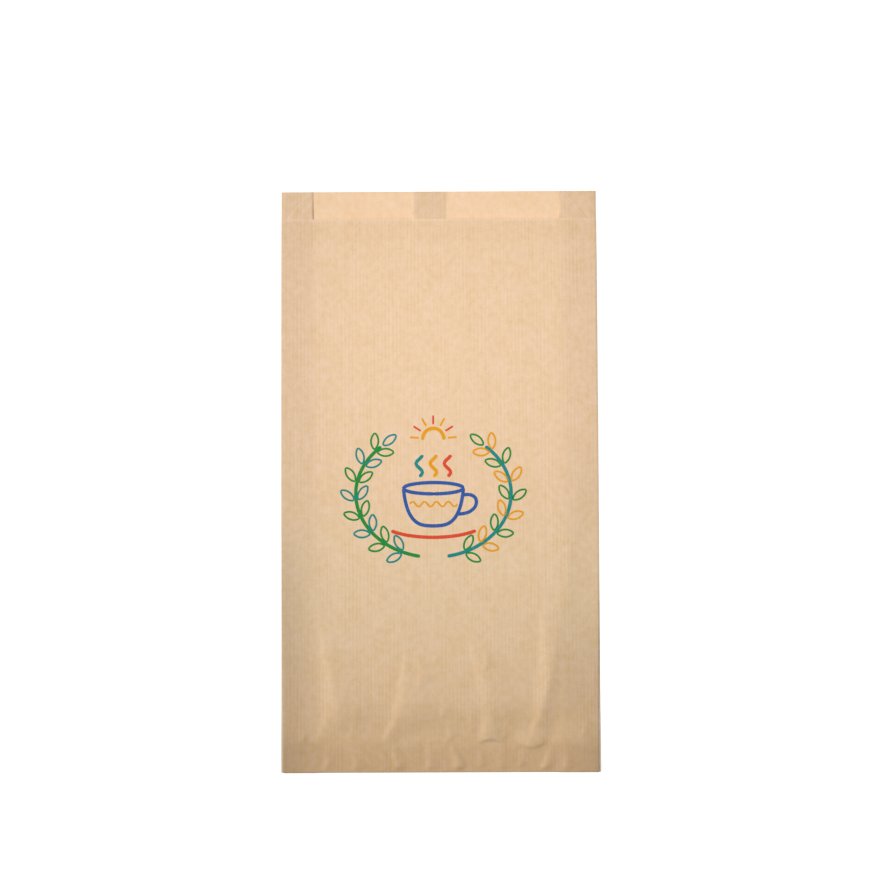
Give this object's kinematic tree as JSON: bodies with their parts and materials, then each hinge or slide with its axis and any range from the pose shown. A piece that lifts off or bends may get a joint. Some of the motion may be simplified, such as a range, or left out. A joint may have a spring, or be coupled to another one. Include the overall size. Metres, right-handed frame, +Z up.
{
  "type": "bakery paper bag",
  "caption": "Flat kraft paper bag with side gussets, a stepped mouth and a folded bottom, for bread and pastries.",
  "frame": {"origin": "under the middle of the bag, on the surface that it lies on", "axes": "+X across the bag to the right seen from the front, +Y from the bottom fold to the mouth, +Z up out of the front panel"},
  "size_m": [0.18, 0.33, 0.0032],
  "materials": {
    "kraft_paper": "ribbed natural brown kraft, faint sheen"
  },
  "bodies": {
    "root": {"paper_bag": "kraft_paper"}
  },
  "joints": []
}
